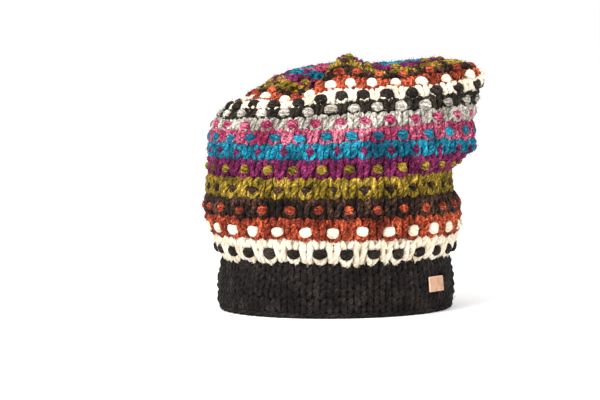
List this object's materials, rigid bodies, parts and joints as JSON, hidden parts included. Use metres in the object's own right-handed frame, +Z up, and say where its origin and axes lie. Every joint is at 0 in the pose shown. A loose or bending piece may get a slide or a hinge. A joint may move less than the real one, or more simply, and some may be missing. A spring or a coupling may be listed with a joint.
{
  "type": "knit wool hat",
  "caption": "Chunky knitted wool slouch hat with spotted colour bands, a plain dark cuff and a small blank leather tag, standing open end down on its rim.",
  "frame": {"origin": "on the ground under the middle of the hat's outline seen from above, with the rim's lower face at z = 0", "axes": "+Z up through the closed top, -Y toward the forehead, +X toward the wearer's left"},
  "size_m": [0.2002, 0.2254, 0.2088],
  "materials": {
    "patterned_wool": "heavy hand-knit wool in spotted bands of cream, rust, brown, olive, purple, blue, pink, grey and black",
    "black_wool": "heavy hand-knit black wool",
    "tan_leather": "smooth matt tan leather, blank"
  },
  "bodies": {
    "root": {"crown": "patterned_wool", "cuff": "black_wool", "label": "tan_leather"}
  },
  "joints": []
}
